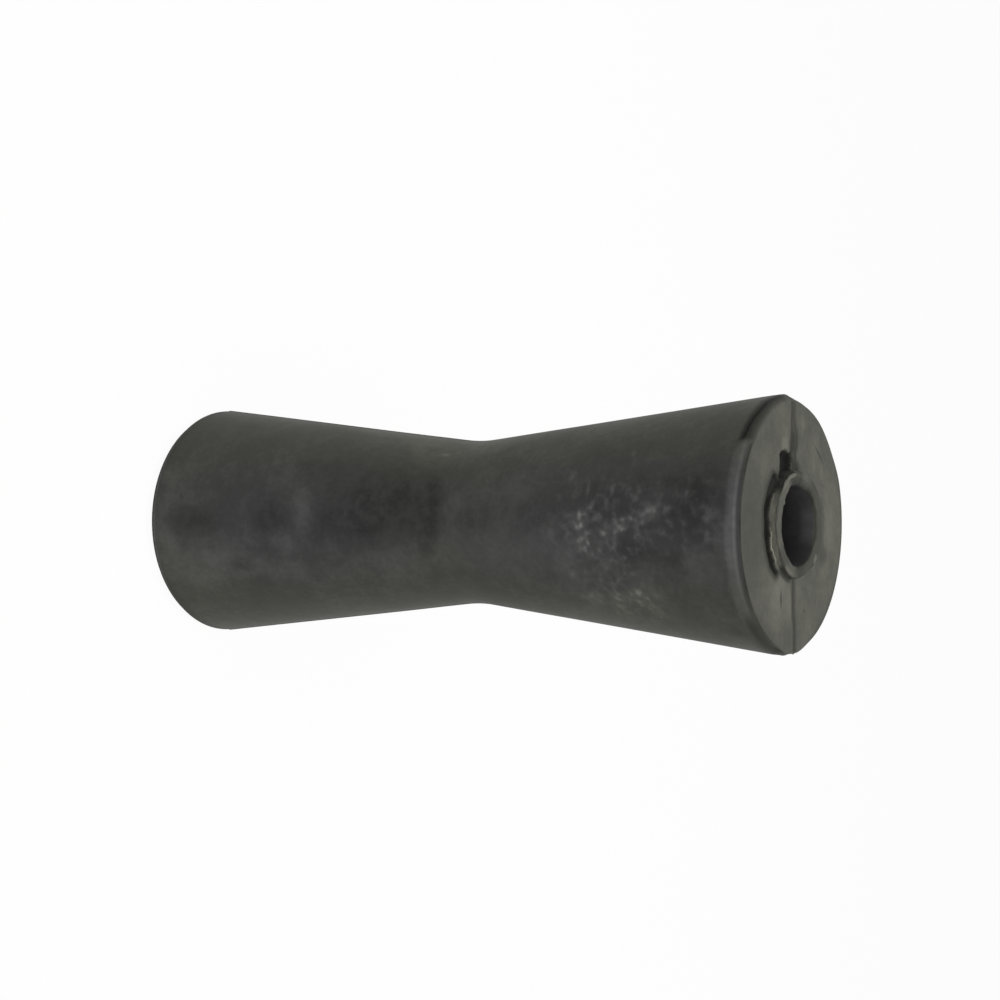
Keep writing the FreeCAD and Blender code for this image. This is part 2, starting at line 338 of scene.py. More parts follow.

# What is worn, sunk or torn at the near end, placed by turn and radius or by X and Y. A patch is given
# as turns from and to, softness and size, and one that starts below 0 is counted from -180 to 180.
# Rough is how far noise moves a thing. Besides dirt and pale rubber it holds painted shade and painted
# highlights.
damage = {
    "mouthWear": ((-35, 40, 50, 1.5), (150, 180, 30, 0.5), (245, 290, 20, 0.6)),
    "mouthRough": 0.22,
    "mouthLeast": 0.15,
    "mouthSteep": 0.8,                         # how deep the worn edge of the mouth is for its width
    "mouthFlare": ((225, 320, 60, 1.5), (252, 290, 20, 0.8), (172, 228, 30, 0.45), (60, 200, 60, 0.25),
                   (54.5, 60, 4, -0.5)),
    "flareRough": 0.15,
    "collarBulge": ((222, 322, 60, 2.2),),
    "collarRagged": 0.25,
    "edgeRough": 0.5,                          # as a share of the collar's bevel
    "topRough": 0.06,
    "wallRough": 0.08,
    "wallSlope": 0.6,                          # how far the collar's wall leans out at its foot
    # pale patches: pale flash, with painted highlights on the collar's outer edge
    "palePatches": ((8, 46, 14, 0.65), (142, 166, 9, 0.4), (226, 235, 7, 0.6)),
    "paleShares": (0.3, 0.65),                 # where on the way over the collar they set in
    "cleanPale": 0.3,                          # neither dirt nor painted shade lies where it is at least as pale as this
    # dirt with painted shade on the collar's top and at its mouth
    "collarDirt": ((172, 322, 20, 0.26), (178, 196, 10, 0.1), (-12, 2, 8, 0.24), (3, 24, 10, 0.34),
                   (118, 148, 12, 0.2)),
    "mouthDirt": ((-62, 22, 20, 0.28), (168, 222, 18, 0.22)),
    "mouthDirtShare": 0.6,                     # where on the way over the collar it ends
    # dirt with painted shade at the collar's wall, and painted light on the part of it that faces -Y
    "wallDirt": ((2, 50, 14, 0.75), (140, 182, 12, 0.6)),
    "wallPale": ((64, 128, 12, 0.5),),

    "wornRim": ((-62, -6, 20, 0.75), (-60, -38, 18, 0.22), (7, 14, 12, 0.42)),
    "wornHeights": (-6.5, -2.5),               # heights and radii over which the wear sets in
    "wornRadii": (29.0, 34.0),
    "fullRim": ((166, 190, 18, 0.9),),         # where the edge of the face bulges instead
    "fullHeights": (-1.8, -0.3),
    # the bevel's pale is a painted highlight on its band, with paler worn rubber
    "bevel": {"turns": (56, 172, 16), "top": 1.3, "depth": 2.9, "radius": 34.0, "width": 1.35,
              "power": 1.4, "rough": 0.12, "roughCell": 9.0, "pale": 0.12, "paleCut": 0.25},
    "rimDirt": ((134, 176, 14, 0.5),),         # dirt and painted shade where the rim is worn to a bevel, with its height and how far it reaches from there
    "rimDirtHeight": (-2.0, 1.4),              # with its height and how far it reaches from there
    "edgeDirt": ((200, 345, 20, 0.14),),       # painted shade along the edge of the face on the +Y side
    "edgeDirtReach": 0.7,
    "faceDirt": ((132, 156, 14, 0.16),),       # and dirt further in from it
    "faceDirtRadii": (30.3, 34.3),
    # turns where it sets in and runs out, the radius where it starts and how far it reaches out and
    # down from there, how much deeper it gets over which turns, and its crack and dark by share; the dark is
    # painted shade with darker torn rubber
    "tear": {"setIn": (-2, 12), "runOut": (52.5, 48.5), "start": 33.4, "reach": 2.0, "drop": 1.7,
             "deeper": 0.5, "deeperTurns": (25, 45), "crack": 0.5, "crackShares": (0.86, 0.96),
             "dark": 0.9, "darkPower": 1.15, "radiusRough": 0.05, "dropRough": 0.06},

    # The moat's outer side has its radius less a taper at both ends, and its inner side leaves the collar
    # by a ledge; wide and fine noise move both. It is shallower on a shelf beside the collar, and by a
    # share at a bridge of rubber. Its dirt and painted shade set in at distances from the outer side.
    "moat": {"turns": (9, 143, 9), "outer": 19.4, "taper": 1.6, "taperIn": (4, 38), "taperOut": (151, 111),
             "narrow": ((28, 40, 6, 1.8), (100, 122, 10, 0.5)), "outerRough": (0.3, 0.12),
             "outerSoft": 2.2, "ledge": 1.2, "ledgeTurns": (50, 62), "innerRough": (0.15, 0.1),
             "innerSoft": 0.35, "depth": 1.4, "shelfDepth": 1.0, "shelfTurns": (35, 62, 10),
             "shelfRadii": (17.8, 16.6), "bridge": 0.5, "bridgeTurns": (29, 38, 5),
             "dirt": 0.85, "dirtTurns": (9, 143, 10), "dirtSides": (2.2, -1.8)},
    # how far the inner side of the moat, and the fins on it, lie outwards
    "lean": ((62, 80, 8, 0.6), (84, 96, 6, -0.4), (101, 114, 6, 0.95), (112, 124, 8, 0.4)),
    "pit": {"x": (-19.2, -13.0), "y": (-8.2, -1.1), "depth": 2.2, "soft": 1.7, "dirt": 0.95},
    "hollows": (                               # x from and to, y from and to, and depth
        (-17.2, -14.0, -1.4, 3.4, 0.35),
    ),
    "flaps": (                                 # the same for rubber that stands up
        (-23.4, -20.0, -8.4, -3.9, 0.3),
    ),
    "flapSoft": 1.3,
    "flapPale": 0.75,
    "wavyX": (0.2, 0.35),                      # how far wide and fine noise move the sides of these
    "wavyY": 0.3,
    # turns from and to, width, height, and how pale: pale flash with a painted highlight
    "fins": ((60, 78, 0.6, 0.4, 0.4), (97, 116, 0.8, 0.6, 1.4), (112, 129, 0.6, 0.55, 1.2)),
    "finRadius": 15.3,
    "finWander": 0.12,
    "finRough": 0.25,
    "finSoft": 7,
    "paleRise": 0.4,                           # how far rubber has to stand up to be fully pale, with a painted highlight, and how dark it is where it is sunk by this depth: painted shade, with darker torn rubber
    "sunkDark": 0.85,                          # and how dark it is where it is sunk by this depth
    "sunkDepth": 0.8,
    "ringDirt": ((240, 292, 20, 0.2),),        # dirt and painted shade on the face round the collar, and where that ends
    "ringRadii": (23.0, 20.0),
    "footDirt": ((142, 174, 12, 0.45),),       # the same at the collar's foot
    "footRadii": (16.4, 15.2),
    "sag": 0.1,                                # how uneven the moulded face is
}


def lineRelief(across, values, parting=0.0):
    # height ridge * bell - valley * bell, with the valleys' bells at both sides of the line, and the
    # dirt and painted shade that lie in the valleys, and between them where they part
    ridge = values["ridge"] * bell(across, 0, values["ridgeWidth"])
    place = values["valleyPlace"] + parting
    valley = bell(np.abs(across), place, values["valleyWidth"])
    filled = ease((place - np.abs(across)) / lineForm["partingSoft"] + 0.5) * np.minimum(parting, 1)
    return ridge - values["valley"] * valley, values["dirt"] * np.maximum(valley, filled)


def faceLines(radius, x, y, wander, onFace, values):
    # Each point's distance across from the mould's line, and the height and the dirt and painted shade of
    # the lines over the end faces, where they stop short of the collars.
    upper = x < 0
    across = np.where(upper, -y - wander, y)
    parting = values["parting"] * bell(radius, values["partingRadius"], values["partingReach"]) * onFace
    both = zip(lineRelief(across, values["upper"], parting), lineRelief(across, values["lower"]))
    line, dirt = (np.where(upper, *pair) for pair in both)
    line = line * rising(radius - collarRadius, *values["collarGap"])
    deep = upper * bell(radius, values["deepRadius"], values["deepReach"])
    return across, line, dirt * (1 + values["deep"] * deep)


def moatRelief(radius, turn, lean, noise, values):
    # Depth of the moat round the collar, and how dark it is with dirt and painted shade: between its inner
    # and its outer side it is sunk by depth, less on the shelf beside the collar and at the bridge.
    tapered = rising(turn, *values["taperIn"]) * rising(turn, *values["taperOut"])
    outer = values["outer"] - values["taper"] * (1 - tapered) - spread(turn, values["narrow"])
    outer = outer + noise @ values["outerRough"]
    inner = collarRadius + values["ledge"] * rising(turn, *values["ledgeTurns"]) + lean
    inner = inner + noise @ values["innerRough"]
    inside = ease((radius - inner) / values["innerSoft"])
    shelf = between(turn, *values["shelfTurns"]) * rising(radius, *values["shelfRadii"])
    depth = values["depth"] - (values["depth"] - values["shelfDepth"]) * shelf
    bridge = 1 - values["bridge"] * between(turn, *values["bridgeTurns"])
    sunk = depth * between(turn, *values["turns"]) * bridge * inside
    sunk = sunk * ease((outer - radius) / values["outerSoft"])
    # the moat's dirt and painted shade, darkening from its outer side in to the collar
    dark = values["dirt"] * bridge * inside * rising(radius - outer, *values["dirtSides"])
    return sunk, dark * between(turn, *values["dirtTurns"])


def faceRelief(radius, turn, x, y, values):
    # Height of the near face over its plane, how dark it is with dirt and shade, and how pale where
    # rubber stands up. Pit, hollows and flaps are eased rectangles with wavy sides. A fin is a bell
    # across the radius, of its own width and height, eased in and out along its turns.
    wide, fine = grain(x, y, 0, 5.0, 11), grain(x, y, 0, 1.4, 12)
    noise = np.stack([wide, fine], axis=-1)
    lean = spread(turn, values["lean"])
    sunk, shadow = moatRelief(radius, turn, lean, noise, values["moat"])
    pit = values["pit"]
    wavyX, wavyY = x + noise @ values["wavyX"], y + values["wavyY"] * grain(x, y, 0, 1.7, 13)
    inPit = boxed(wavyX, wavyY, pit["x"] + pit["y"], pit["soft"])
    sunk = np.maximum(sunk, pit["depth"] * inPit)
    for *place, depth in values["hollows"]:
        sunk = np.maximum(sunk, depth * boxed(wavyX, wavyY, place, values["flapSoft"]))
    raised = np.zeros_like(sunk)
    for *place, height in values["flaps"]:
        raised = np.maximum(raised, height * boxed(wavyX, wavyY, place, values["flapSoft"]))
    # flaps that stand up are paler, with a painted highlight
    pale = values["flapPale"] * ease((raised - sunk) / values["paleRise"])
    # each fin is pale flash with a painted highlight on its crest
    for first, last, width, height, white in values["fins"]:
        fin = bell(radius, values["finRadius"] + lean + values["finWander"] * fine, width)
        crest = height * (1 + values["finRough"] * fine) * fin * between(turn, first, last, values["finSoft"])
        raised = np.maximum(raised, crest)
        pale = np.maximum(pale, white * ease((crest - sunk) / values["paleRise"]) * rising(fin, 0, 0.5))
    # painted shade with darker torn rubber where it is sunk, and dirt with painted shade in the pit, round
    # the collar and at its foot
    dark = np.maximum(values["sunkDark"] * ease(sunk / values["sunkDepth"]), shadow)
    dark = np.maximum(dark, pit["dirt"] * rising(inPit, 0, 0.25))
    dark = np.maximum(dark, spread(turn, values["ringDirt"]) * rising(radius, *values["ringRadii"]))
    dark = np.maximum(dark, spread(turn, values["footDirt"]) * rising(radius, *values["footRadii"]))
    # broad swells, and narrow ones that are a little weaker
    uneven = values["sag"] * (0.6 * grain(x, y, 0, 13.0, 14) + 0.4 * grain(x, y, 0, 4.0, 15))
    return uneven + raised - sunk, dark, pale


def wearMouth(radius, height, turn, zones, form, values):
    # The worn mouth: the bore flares by flare * share^2 up to its edge, that edge is an arc of a width
    # that changes with the turn, and the collar is stretched between it and its ragged outside. Gives
    # how pale and how dark the collar is.
    top, steep = form["collarHeight"], values["mouthSteep"]
    wear = form["mouthEdge"] + values["mouthRough"] * ringGrain(turn, "mouth", 0, 2.3, 21)
    wear = np.maximum(wear + spread(turn, values["mouthWear"]), values["mouthLeast"])
    flare = spread(turn, values["mouthFlare"]) + values["flareRough"] * ringGrain(turn, "mouth", 0, 1.6, 27)
    ragged = ringGrain(turn, "collar", 0, 3.6, 22) + 0.6 * ringGrain(turn, "collar", 0, 1.2, 23)
    outside = collarRadius + spread(turn, values["collarBulge"]) + values["collarRagged"] * ragged
    edge = form["collarEdge"] * (1 + values["edgeRough"] * ringGrain(turn, "collar", 0, 2.0, 24))

    rows = zones["boreMouth"]
    share = evenly(rows, 0, 1)
    height[rows] = -form["mouthDepth"] + share * (top - steep * wear[rows] + form["mouthDepth"])
    radius[rows] = boreRadius + flare[rows] * share ** 2
    rows = zones["mouthEdge"]
    angle = np.radians(evenly(rows, 0, 90))
    radius[rows] = boreRadius + flare[rows] + wear[rows] * (1 - np.cos(angle))
    height[rows] = top - steep * wear[rows] * (1 - np.sin(angle))
    rows = zones["collarTop"]
    share = evenly(rows, 0, 1)
    start = boreRadius + flare[rows] + wear[rows]
    radius[rows] = start + share * (outside[rows] - edge[rows] - start)
    height[rows] = top - values["topRough"] * (1 + ringGrain(turn[rows], "collarTop", share * 3, 1.5, 25))
    rows = zones["collarEdge"]
    angle = np.radians(evenly(rows, 90, 0))
    radius[rows] = outside[rows] - edge[rows] * (1 - np.cos(angle))
    height[rows] = top - edge[rows] * (1 - np.sin(angle))
    rows = zones["collarWall"]
    share = evenly(rows, 1, 0)
    uneven = values["wallRough"] * ringGrain(turn[rows], "collar", share * 2, 0.9, 26)
    radius[rows] = outside[rows] + values["wallSlope"] * (1 - share) + uneven
    height[rows] = share * (top - edge[rows])
    rows = zones["ring"]
    start = outside[rows] + values["wallSlope"]
    radius[rows] = start + evenly(rows, 0, 1) * (form["ringRadius"] - start)

    pale, dark = np.zeros_like(radius), np.zeros_like(radius)
    # pale flash with painted highlights over the collar's outer part
    rows = slice(zones["collarTop"].start, zones["collarWall"].start)
    setIn = rising(evenly(rows, 0, 1, True), *values["paleShares"])
    pale[rows] = spread(turn[rows], values["palePatches"]) * setIn
    # dirt and painted shade on the collar's top and at its mouth
    rows = slice(zones["mouthEdge"].start, zones["collarWall"].start)
    runOut = rising(evenly(rows, 0, 1, True), values["mouthDirtShare"], 0)
    dark[rows] = spread(turn[rows], values["collarDirt"]) * rising(pale[rows], values["cleanPale"], 0)
    dark[rows] += spread(turn[rows], values["mouthDirt"]) * runOut
    # the collar's wall: painted light where it faces -Y, and dirt with painted shade
    rows = zones["collarWall"]
    pale[rows] = spread(turn[rows], values["wallPale"])
    dark[rows] = np.maximum(spread(turn[rows], values["wallDirt"]), spread(turn[rows], values["ringDirt"]))
    return pale, dark


def wearRim(radius, height, turn, zones, values):
    # The rim is worn in by wornRim, and the face's edge bulges by fullRim. On the damaged side the rim's
    # corner is worn to a bevel as well: no point there lies outside
    # radius + width * (1 - (1 - depth)^power), with depth from 0 at its top to 1. Gives how pale the
    # bevel is, a painted highlight with paler worn rubber, and how dark the dirt and painted shade on rim and
    # face are.
    row = np.arange(len(radius))[:, None]
    outside = (row >= zones["faceOuter"].start) & (row < zones["waist"].start)
    worn = spread(turn, values["wornRim"]) * rising(height, *values["wornHeights"])
    worn = worn - spread(turn, values["fullRim"]) * rising(height, *values["fullHeights"])
    radius -= worn * outside * rising(radius, *values["wornRadii"])
    bevel = values["bevel"]
    depth = np.clip((-height - bevel["top"]) / bevel["depth"], 0, 1)
    limit = bevel["radius"] + bevel["width"] * (1 - (1 - depth) ** bevel["power"])
    limit = limit + bevel["rough"] * grain(turn, 0, height, bevel["roughCell"], 28)
    below = (row >= zones["step"].start) & (row < zones["waist"].start)
    cut = between(turn, *bevel["turns"]) * np.maximum(radius - limit, 0) * below
    radius -= cut
    # dirt with painted shade on the bevel, painted shade along the face's edge, and dirt further in
    dark = spread(turn, values["rimDirt"]) * bell(height, *values["rimDirtHeight"]) * below
    onFace = (row >= zones["ring"].start) & (row < zones["step"].start)
    reach = values["edgeDirtReach"]
    dark = dark + spread(turn, values["edgeDirt"]) * bell(radius, faceRadius - reach, reach) * onFace
    dark = dark + spread(turn, values["faceDirt"]) * rising(radius, *values["faceDirtRadii"]) * onFace
    return bevel["pale"] * ease(cut / bevel["paleCut"]), dark


def tearRim(radius, height, turn, zones, form, values):
    # The torn rim: across its turns the outline gives way to a quarter of an ellipse that rounds over
    # from the face, radius = start + reach * sin a, height = -drop * (1 - cos a), and ends in a crack.
    # Its drop grows by deeper from one end to the other. Gives how dark it is, dark * share^power: painted
    # shade that deepens towards the crack, with the darker torn rubber.
    tear = values["tear"]
    rows = slice(zones["faceEdge"].start, zones["shoulder"].start + 1)
    share = evenly(rows, 0, 1, True)
    rough = ringGrain(turn[rows], "rim", share * 4, 1.8, 31)
    fine = ringGrain(turn[rows], "rim", share * 4, 0.8, 32)
    half = halfTurn(turn)
    torn = rising(half, *tear["setIn"]) * rising(half, *tear["runOut"])
    angle = share * math.pi / 2
    crack = tear["crack"] * rising(share, *tear["crackShares"])
    targetRadius = tear["start"] + tear["reach"] * np.sin(angle) + tear["radiusRough"] * fine - crack
    drop = tear["drop"] + tear["deeper"] * rising(half[rows], *tear["deeperTurns"])
    targetHeight = -drop * (1 + tear["dropRough"] * rough) * (1 - np.cos(angle))
    radius[rows] += torn[rows] * (targetRadius - radius[rows])
    height[rows] += torn[rows] * (targetHeight - height[rows])
    dark = np.zeros_like(radius)
    dark[rows] = torn[rows] * tear["dark"] * share ** tear["darkPower"]
    outer = zones["faceOuter"]
    inwards = faceRadius - form["faceEdge"] - tear["start"]
    radius[outer] -= torn[outer] * evenly(outer, 0, 1, True) * inwards
    return dark


def rollerTones(radius, height, turn, z, dark, zones, farEnds, form):
    # The flat ends, the step round them, the far rim and the bore each have their own tone: olive bloom on
    # the flat ends, painted shade on the others. The cones get an olive tint, a painted sheen, except on the
    # strip that faces the camera.
    x, y = roundBore(radius, turn)
    flat = np.zeros_like(radius)
    flat[zones["mouthEdge"].start:zones["step"].start] = 1
    flat[farEnds["step"]:farEnds["mouthEdge"]] = 1
    # an olive tint on the cones, a painted sheen, left off the strip that faces the camera
    edge = form["stripEdge"] * grain(-x, height, 0, form["stripWave"], 42)
    fade = form["stripFade"] * (bell(z, middle, form["stripWaist"]) + rising(z, *form["stripFoot"]))
    strip = between(turn + edge, *form["wornStrip"]) * (1 - fade)
    olive = np.maximum(flat, 1 - strip)
    # painted shade in the crease of the step round the flat ends
    step = slice(zones["faceEdge"].start, zones["shoulder"].start)
    stepDark = form["stepDark"] * bell(height, form["stepMiddle"], form["stepReach"])
    dark[step] = np.maximum(dark, stepDark)[step]
    # painted shade on the far rim's rounding, strongest at the turns of the mould's lines
    farRim = slice(farEnds["cone"], farEnds["step"])
    nearLine = np.abs(np.cos(np.radians(turn)))
    dark[farRim] = (form["farRimDark"] * nearLine * rising(height, *form["farRimHeights"]))[farRim]
    # painted shade inside the bore, by depth and turn, and uneven
    row = np.arange(len(radius))[:, None]
    inBore = (row < zones["mouthEdge"].start) | (row >= farEnds["mouthEdge"])
    boreDark = np.interp(-height, *zip(*form["boreDark"])) + spread(turn, form["boreFoot"])
    boreDark = boreDark + form["boreMottle"] * grain(x, y, height, form["boreSpot"], 43)
    return {"flat": flat, "olive": np.where(inBore, 0, olive), "dark": np.where(inBore, boreDark, dark)}


def rollerSurface(form):
    # One closed grid: rows follow the outline once round, from the near half of the bore over the
    # outside to the far half, and columns go round the bore.
    # x = -radius * cos(turn), y = -radius * sin(turn), turn = angle + arcsin(shift / radius)
    nearRadius, nearHeight, zones = halfOutline(form, form["nearRows"])
    farRadius, farHeight, farZones = halfOutline(form, form["farRows"])
    outline = np.concatenate([nearRadius, farRadius[-2:0:-1]])
    farEnds = {name: len(outline) + 1 - rows.start for name, rows in farZones.items()}
    angle, shift, follow = rollerColumns(form)
    radius = np.repeat(outline[:, None], len(angle), axis=1)
    height = np.concatenate([nearHeight, farHeight[-2:0:-1]])[:, None] + 0 * radius
    isNear = np.arange(len(outline))[:, None] < len(nearRadius)
    onFace = isNear * rising(height, -lineForm["pathDepth"], 0)
    wander = onFace * np.interp(radius, *zip(*lineForm["path"]))
    turn = (angle + np.degrees(np.arcsin((shift + wander * follow) / radius))) % 360

    pale, dark = wearMouth(radius, height, turn, zones, form, damage)
    rimPale, rimDark = wearRim(radius, height, turn, zones, damage)
    tearDark = tearRim(radius, height, turn, zones, form, damage)
    pale = np.maximum(pale, rimPale)
    dark = np.maximum(np.maximum(dark, rimDark), tearDark)
    x, y = roundBore(radius, turn)
    rows = slice(zones["ring"].start, zones["faceOuter"].stop)
    relief, faceDark, facePale = faceRelief(radius[rows], turn[rows], x[rows], y[rows], damage)
    height[rows] += relief
    dark[rows] = np.maximum(dark[rows], faceDark)
    pale[rows] = facePale

    # the mould's lines, with dirt and painted shade in their valleys
    across, line, dirt = faceLines(radius, x, y, wander, onFace, lineForm)
    rows = slice(zones["ring"].start, zones["faceEdge"].start)
    height[rows] += line[rows]
    dark[rows] = np.maximum(dark, dirt)[rows]
    rows = slice(farEnds["step"], farEnds["ring"])
    height[rows] += line[rows]
    sides = slice(zones["faceEdge"].start, farEnds["step"])
    radius[sides] += lineRelief(across, lineForm["side"])[0][sides]

    z = np.where(isNear, nearFace + height, overall - nearFace - height)
    tones = rollerTones(radius, height, turn, z, dark, zones, farEnds, form)
    x, y = roundBore(radius, turn)
    swell = np.zeros_like(radius)
    swell[sides] = form["coneSag"] * (grain(x, y, z, form["coneSwell"], 41) - 1)[sides]
    x, y = x * (1 + swell / radius), y * (1 + swell / radius)
    # the rim of the near face lies off the axis, fading over the face's outer part and the step
    offCentre = rising(radius, *form["offCentreRadii"]) * np.interp(height, form["offCentreHeights"], (0, 1))
    y = y + form["offCentre"] * offCentre * isNear
    return np.stack([x, y, z], axis=2), {**tones, "pale": pale}


def gridMesh(name, points, attributes):
    # joins each row to the next and each column to the next, both of them round to the first
    rows, columns = points.shape[:2]
    index = np.arange(rows * columns).reshape(rows, columns)
    below, beside = np.roll(index, -1, axis=0), np.roll(index, -1, axis=1)
    quads = np.stack([index, below, np.roll(below, -1, axis=1), beside], axis=2).reshape(-1, 4)
    mesh = bpy.data.meshes.new(name)
    mesh.from_pydata((points.reshape(-1, 3) * mm).tolist(), [], quads.tolist())
    mesh.polygons.foreach_set("use_smooth", np.ones(len(quads), dtype=bool))
    for label, values in attributes.items():
        layer = mesh.attributes.new(label, "FLOAT", "POINT")
        layer.data.foreach_set("value", values.astype(np.float32).ravel())
    mesh.update()
    return mesh


def addRoller(form):
    mesh = gridMesh("mouldedRoller", *rollerSurface(form))
    made = addObject("mouldedRoller", mesh)
    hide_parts("roller")
    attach(made, "root")
    print("roller moulded,", len(mesh.polygons) * 2, "triangles")
    return made


def linearColour(code):
    # an sRGB hex colour as linear red, green, blue and alpha
    parts = [int(code[i:i + 2], 16) / 255 for i in (1, 3, 5)]
    return [c / 12.92 if c <= 0.04045 else ((c + 0.055) / 1.055) ** 2.4 for c in parts] + [1.0]


def emptyTree(owner):
    # the node tree of a material or a world, with nothing in it
    owner.use_nodes = True
    owner.node_tree.nodes.clear()
    return owner.node_tree


def addNode(tree, kind, settings=None, inputs=None):
    # one node: its settings by name, and its inputs as values or as sockets to link from
    made = tree.nodes.new(kind)
    for name, value in (settings or {}).items():
        setattr(made, name, value)
    for name, value in (inputs or {}).items():
        if isinstance(value, bpy.types.NodeSocket):
            tree.links.new(value, made.inputs[name])
        else:
            made.inputs[name].default_value = value
    return made


# What the rubber met since it was moulded, and a painted sheen along the upper outline. A mark on the
# cones has its height over the foot, its turn, its length along the roller, its length round it, and how
# strong it is.
rubberMarks = {
    "worn": (                 # grainy black places, where the bloom is rubbed away
        (89, 78, 30, 26, 0.8), (73, 86, 28, 22, 0.6), (98, 84, 9, 24, 0.9), (46, 86, 16, 12, 0.8),
        (19, 90, 18, 9, 0.7), (33, 114, 10, 6, 0.4), (188, 77, 20, 20, 0.8), (169, 102, 16, 6, 0.7),
        (181, 105, 9, 5, 0.5), (130, 84, 22, 11, 0.2), (160, 79, 26, 12, 0.4), (62, 56, 34, 12, 0.35),
        (195, 144, 10, 8, 0.7), (173, 67, 16, 9, 0.5), (114, 88, 14, 8, 0.4),
    ),
    "soft": (                 # greyer places without an edge, and a painted sheen
        (49, 101, 9, 8, 1.1), (66, 105, 9, 7, 0.8), (57, 84, 8, 13, 0.7), (71, 90, 8, 6, 0.4),
        (129, 108, 80, 24, 0.45), (29, 112, 34, 14, 0.6), (100, 29, 34, 15, 1.0), (5, 105, 12, 40, 0.7),
        (93, 81, 6, 4, 0.4), (17, 116, 18, 15, 1.0), (13, 64, 12, 9, 0.4), (116, 88, 24, 40, 0.5),
        (150, 109, 18, 12, 0.9), (190, 108, 12, 11, 0.9), (163, 131, 32, 15, 0.4), (83, 118, 40, 14, 0.4),
        (4, 73, 14, 18, 1.3), (5, 106, 14, 16, 1.2), (15, 79, 24, 10, 0.5), (47, 117, 18, 9, 0.9),
        # these two lift the strip along the upper outline: a painted sheen
        (106, 17, 64, 14, 0.8), (72, 8, 30, 9, 0.7),
        (104, 105, 20, 14, 0.6), (130, 76, 18, 16, 0.8), (158, 105, 18, 12, 0.8), (171, 124, 18, 16, 0.6),
        (197, 98, 6, 8, 0.6), (106, 79, 10, 8, 0.8), (116, 112, 14, 8, 0.8), (138, 99, 12, 8, 0.7),
    ),
    "scuffs": (               # small pale scrapes that left crumbs of grey on the black
        (152, 88, 6, 5, 1.3), (153, 99.5, 4, 4, 1.4), (155, 82, 4, 3, 0.6), (148, 105, 4, 3, 0.5),
        (148, 118, 4, 3, 0.6), (155, 106, 3, 3, 0.5), (162, 94, 6, 5, 0.55), (165, 90, 5, 4, 0.7),
        (169, 87.5, 7, 4, 0.8), (173, 86, 5, 4, 1.0), (176, 84, 5, 5, 1.1), (179, 82, 4, 4, 0.7),
        (148, 64, 3, 4, 0.5), (154, 72, 1.4, 6, 0.6), (162, 72, 2, 5, 0.4), (166, 53, 2, 2, 0.5),
        (186, 75, 1.3, 8, 0.6), (187, 70, 2, 3, 0.4), (193, 92, 4, 6, 0.35), (192, 71, 3, 4, 0.4),
        (167, 127.5, 8, 5, 0.5), (171, 133.5, 7, 5, 0.45), (160.5, 135.5, 7, 5, 0.45),
        (153, 132.5, 7, 5, 0.4), (98, 35, 4, 2, 0.6),
    ),
    "fields": (               # where crumbs of the same kind lie thinly
        (156, 92, 32, 34, 0.9), (170, 92, 30, 26, 0.6), (163, 131, 34, 18, 0.7), (190, 86, 22, 30, 0.6),
    ),
}
faceMarksAndPaintedLight = (                 # marks of the near face, X, Y, length, width, turn of their length, strength; those 16 millimetres long and more are painted light and shade
    (-18.5, 18.9, 6.0, 0.9, 43, -0.5), (-19.8, 17.2, 11.5, 1.0, 51, -0.5), (20.0, -8.0, 6.0, 1.4, 0, -0.9),
    (23.7, 7.5, 1.6, 1.4, 0, -0.6), (-27.5, 6.5, 7.0, 3.0, 0, 0.2), (-14.6, 19.5, 9.0, 4.0, 30, 0.15),
    (18.0, -10.0, 28.0, 20.0, 0, 0.35), (2.0, 26.0, 50.0, 18.0, 0, 0.15),
    (-2.0, -30.0, 60.0, 24.0, 0, -0.28), (22.0, -2.5, 16.0, 6.0, 0, 0.2),
    (-24.0, -14.0, 16.0, 18.0, 0, -0.16), (-21.0, 15.0, 16.0, 9.0, 0, 0.22),
    (12.0, 27.0, 16.0, 9.0, 0, -0.2), (-15.2, 2.6, 4.2, 7.0, 0, -0.6), (9.0, 21.0, 7.0, 8.0, 0, -0.4),
)

# Black keel-roller rubber, compression moulded and never polished: matt and nearly black, with a grey
# bloom in clouds that is thicker and more olive on the flat ends.
rubberFinish = {
    "tones": ((0.0, "#0a0a0a"), (0.3, "#2a2a2a"), (0.5, "#404040"), (0.7, "#5c5c5c"), (1.0, "#9a9a98")),
    "plain": 0.5,             # where along the tones the rubber lies that nothing has touched, and where pale flash, fins and painted highlights lie
    "fresh": 0.74,            # and where fresh edges and fins do
    # the olive tint: the bloom's own on the flat ends, and a painted sheen on the cones
    "bloomTint": "#ffffe8",
    "bloomLift": 0.03,
    "clouds": (26.0, 0.05),   # width in millimetres and strength of each pattern
    "mottle": (4.5, 0.03),
    "grain": (1.5, 0.025),
    "patterns": (2.0, 0.3, 0.7),        # their detail, and the values between which their noise counts
    "crumbs": (2.1, 0.5, 0.36, 0.7),    # width of a crumb in a scuff, and the same three
    "gaps": (3.36, 2.0, 0.36, 0.62),    # and for the noise that thins crumbs out and grains worn places
    "wornGrain": 1.8,         # from this, the noise of the gaps is taken away
    "wornDepth": 0.115,
    "softLift": 0.09,
    "crumbShare": 0.55,       # how much of a scuff is in its crumbs
    "scuffLift": 0.23,
    # a mark's ball falls off evenly, so it is made larger and stronger than the mark, and cut off at 1
    "markSpread": 1.3,
    "markLift": 1.6,
    "markDepth": 14.0,        # how deep a mark reaches into the rubber
    "faceMarkDepth": 4.0,
    "faceMarkLift": 0.5,
    "roughness": (0.62, 0.95),          # of plain and of wholly dark rubber
    "ior": 1.52,
    "specular": 0.2,
    "skin": 0.7,              # grain that the mould's own surface left
    "skinDepth": 0.03,
}


